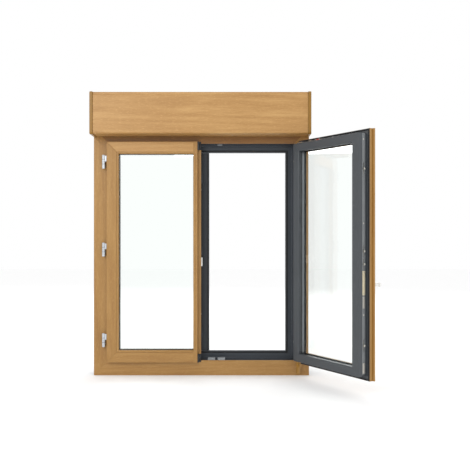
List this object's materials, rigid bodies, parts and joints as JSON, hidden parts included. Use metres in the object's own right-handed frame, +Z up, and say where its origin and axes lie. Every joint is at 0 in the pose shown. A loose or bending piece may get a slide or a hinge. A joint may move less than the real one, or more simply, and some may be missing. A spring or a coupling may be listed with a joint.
{
  "type": "casement window",
  "caption": "Two-leaf inward-opening casement window with tilt-and-turn right leaf and a roller-shutter box above the frame.",
  "frame": {"origin": "middle of the frame's bottom face, halfway through its depth", "axes": "+X right seen from the room, -Y into the room, +Z up"},
  "size_m": [1.2599, 0.5411, 1.3],
  "materials": {
    "oak_profile": "woodgrain foil",
    "oak_panel": "woodgrain foil",
    "oak_cap": "moulded",
    "grey_profile": "grained foil",
    "seal_rubber": "extruded",
    "black_plastic": "moulded",
    "foam": "cut foam",
    "motor_shell": "satin",
    "zinc_steel": "zinc plated",
    "hinge_silver": "satin",
    "keeper_white": "satin",
    "handle_lacquer": "gloss",
    "clear_glass": "polished",
    "spacer_bar": "matt",
    "slat_grey": "satin"
  },
  "bodies": {
    "frame": {"frame_jamb_left": "oak_profile", "frame_jamb_right": "oak_profile", "frame_head": "oak_profile", "frame_sill": "oak_profile", "rebate_seals": "seal_rubber", "drain_caps": "grey_profile", "box_front": "oak_panel", "box_top": "oak_panel", "box_rear": "grey_profile", "box_hatch": "oak_panel", "box_end_left": "oak_cap", "box_end_right": "oak_cap", "box_insulation": "foam", "roller_bearings": "zinc_steel", "tube_motor": "motor_shell", "guide_left": "grey_profile", "guide_right": "grey_profile", "guide_brushes": "seal_rubber", "left_frame_hinges": "hinge_silver", "frame_strikers": "zinc_steel", "stay_bearing": "hinge_silver", "pivot_bearing": "hinge_silver"},
    "left_leaf": {"left_hinge_stile": "oak_profile", "left_meeting_stile": "oak_profile", "left_top_rail": "oak_profile", "left_bottom_rail": "oak_profile", "left_beads": "oak_profile", "left_panes": "clear_glass", "left_spacer": "spacer_bar", "left_gaskets": "seal_rubber", "mullion_wing": "grey_profile", "mullion_caps": "black_plastic", "left_leaf_hinges": "hinge_silver", "mullion_keepers": "keeper_white"},
    "top_bolt": {"top_bolt": "zinc_steel"},
    "bottom_bolt": {"bottom_bolt": "zinc_steel"},
    "right_leaf": {"right_hinge_stile": "oak_profile", "right_lock_stile": "oak_profile", "right_top_rail": "oak_profile", "right_bottom_rail": "oak_profile", "right_beads": "oak_profile", "right_panes": "clear_glass", "right_spacer": "spacer_bar", "right_gaskets": "seal_rubber", "cover_strip": "oak_profile", "lock_faceplate": "zinc_steel", "gearbox": "zinc_steel", "handle_rose": "handle_lacquer", "pivot_strap": "hinge_silver"},
    "lock_rod": {"lock_rod": "zinc_steel"},
    "bottom_rod": {"bottom_rod": "zinc_steel"},
    "handle": {"handle_lever": "handle_lacquer"},
    "tilt_knuckle": {"pivot_knuckle": "zinc_steel", "stay_carrier": "zinc_steel"},
    "stay_arm": {"stay_arm": "zinc_steel"},
    "stay_slider": {"stay_slider": "zinc_steel"},
    "roller": {"shutter_axle": "zinc_steel", "shutter_roll": "slat_grey"},
    "curtain": {"end_slat": "grey_profile", "shutter_curtain": "slat_grey"}
  },
  "joints": [
    {"name": "left_leaf_turn", "type": "hinge", "parent": "frame", "child": "left_leaf", "pos_m": [-0.4515, -0.052, 0.5845], "axis": [0, 0, -1], "range_deg": [0, 110]},
    {"name": "top_bolt_slide", "type": "slide", "parent": "left_leaf", "child": "top_bolt", "axis": [0, 0, 1], "range_m": [0, 0.016]},
    {"name": "bottom_bolt_slide", "type": "slide", "parent": "left_leaf", "child": "bottom_bolt", "axis": [0, 0, -1], "range_m": [0, 0.016]},
    {"name": "right_leaf_turn", "type": "hinge", "parent": "frame", "child": "tilt_knuckle", "pos_m": [0.4515, -0.052, 0.04], "axis": [0, 0, 1], "range_deg": [-124, 0]},
    {"name": "right_leaf_tilt", "type": "hinge", "parent": "tilt_knuckle", "child": "right_leaf", "pos_m": [0.4515, -0.052, 0.048], "axis": [-0.5592, 0.829, 0], "range_deg": [0, 7]},
    {"name": "stay_swing", "type": "hinge", "parent": "tilt_knuckle", "child": "stay_arm", "pos_m": [0.4515, -0.052, 1.066], "axis": [0, 0, 1], "range_deg": [0, 24]},
    {"name": "stay_slide", "type": "slide", "parent": "right_leaf", "child": "stay_slider", "axis": [-0.5592, 0.829, 0], "range_m": [0, 0.0137]},
    {"name": "handle_turn", "type": "hinge", "parent": "right_leaf", "child": "handle", "pos_m": [0.71796, -0.39697, 0.448], "axis": [0.829, 0.5592, 0], "range_deg": [-90, 90]},
    {"name": "lock_rod_slide", "type": "slide", "parent": "right_leaf", "child": "lock_rod", "axis": [0, 0, 1], "range_m": [-0.018, 0.018]},
    {"name": "bottom_rod_slide", "type": "slide", "parent": "right_leaf", "child": "bottom_rod", "axis": [-0.5592, 0.829, 0], "range_m": [-0.018, 0.018]},
    {"name": "shutter_drop", "type": "slide", "parent": "frame", "child": "curtain", "axis": [0, 0, -1], "range_m": [0, 1.095], "deforming": ["shutter_curtain"]},
    {"name": "roller_turn", "type": "hinge", "parent": "frame", "child": "roller", "pos_m": [0, -0.014, 1.2117], "axis": [1, 0, 0], "range_deg": [-1150, 0]}
  ],
  "couplings": [
    {"joint": "stay_swing", "follows": "right_leaf_tilt", "ratio": 3.42},
    {"joint": "stay_slide", "follows": "right_leaf_tilt", "m_per_rad": 0.1115},
    {"joint": "lock_rod_slide", "follows": "handle_turn", "m_per_rad": 0.011459},
    {"joint": "bottom_rod_slide", "follows": "handle_turn", "m_per_rad": -0.011459},
    {"joint": "roller_turn", "follows": "shutter_drop", "rad_per_m": -18}
  ]
}
